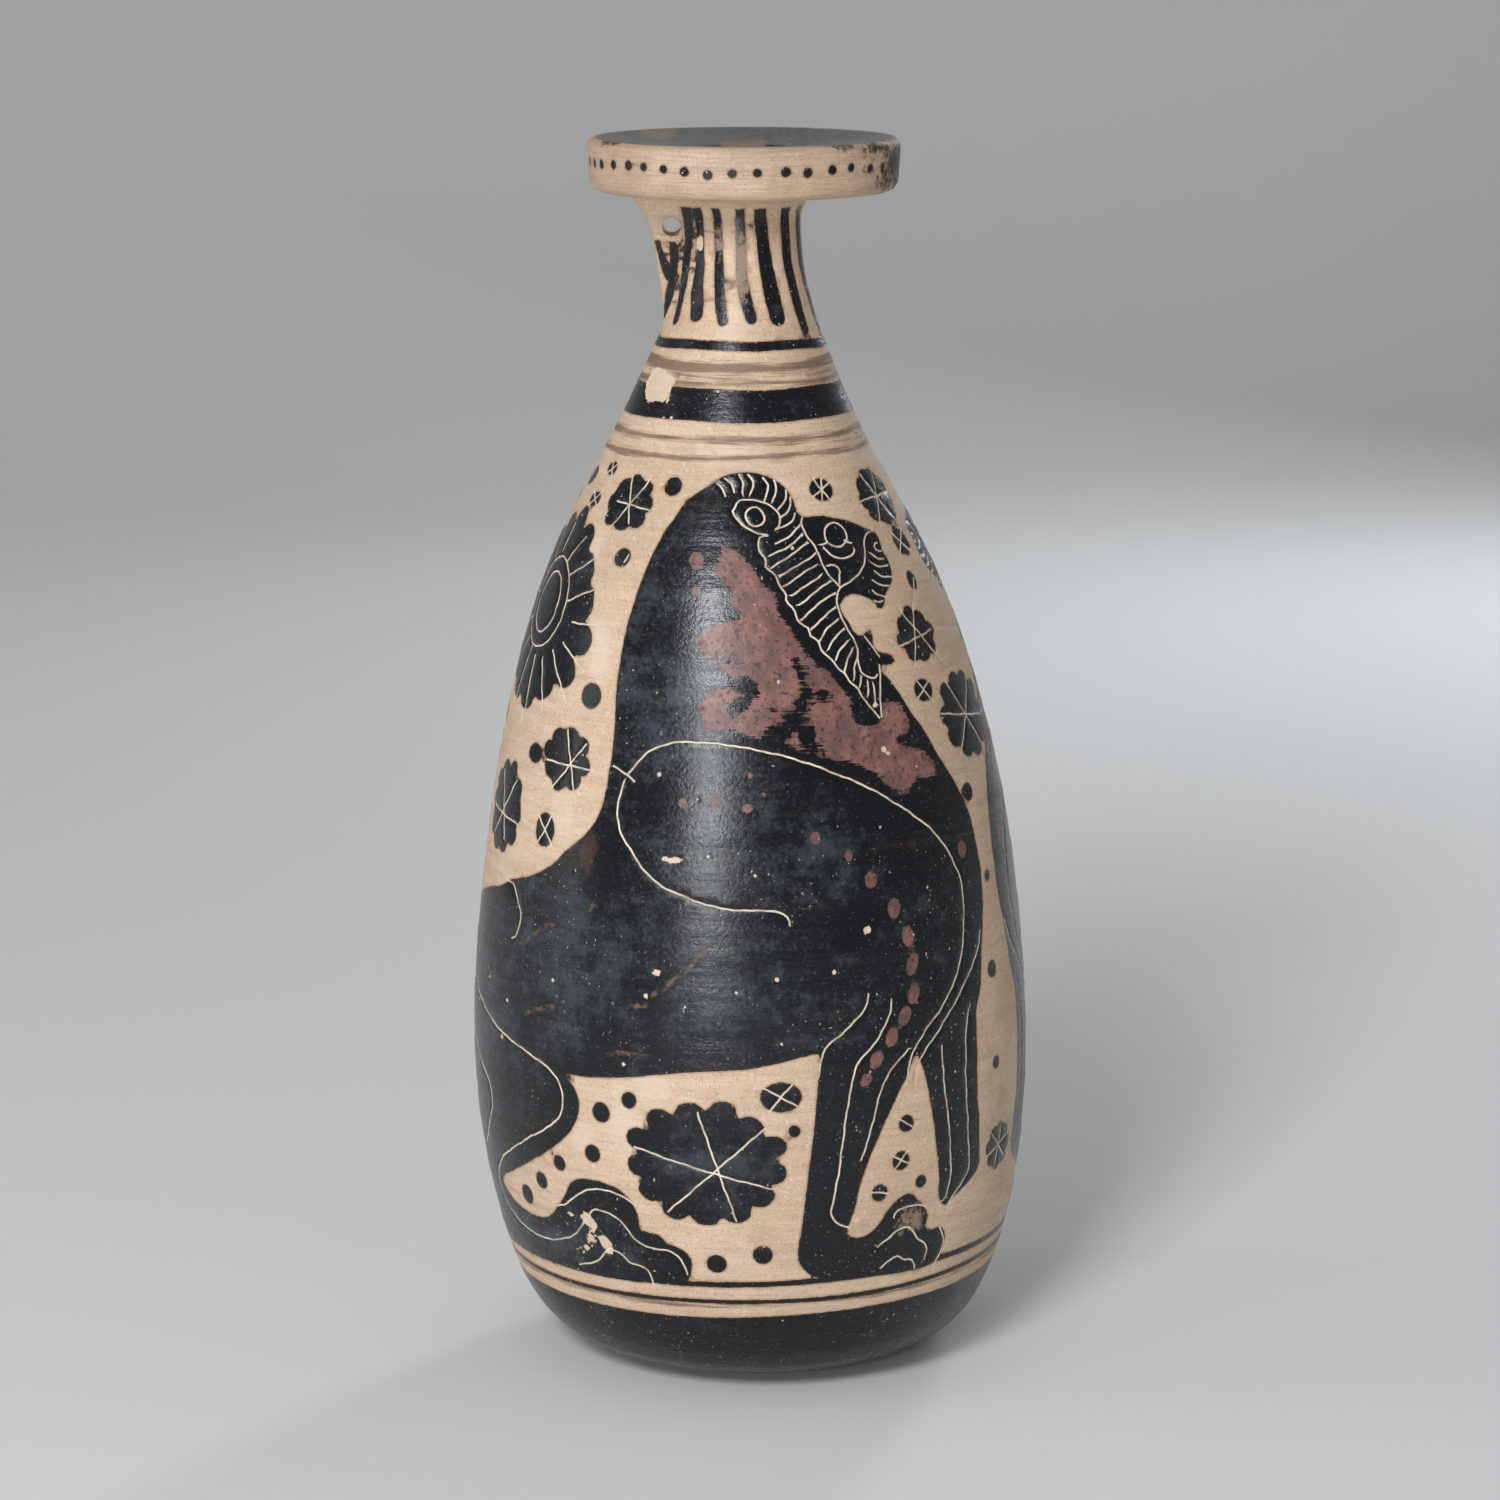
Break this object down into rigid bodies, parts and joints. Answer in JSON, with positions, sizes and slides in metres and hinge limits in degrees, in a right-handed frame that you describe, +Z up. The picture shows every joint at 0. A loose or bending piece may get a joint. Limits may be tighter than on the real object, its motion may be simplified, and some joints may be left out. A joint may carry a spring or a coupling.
{
  "type": "alabastron",
  "caption": "Pear-shaped black-figure perfume vessel with a flat disc mouth, a narrow neck and a pierced lug.",
  "frame": {"origin": "on the ground under the middle of the belly", "axes": "+Z up along the vessel towards its mouth, -Y the painted front, -X the side with the pierced lug"},
  "size_m": [0.1143, 0.1142, 0.25],
  "materials": {
    "fired_clay": "satin"
  },
  "bodies": {
    "root": {"vessel": "fired_clay"}
  },
  "joints": []
}
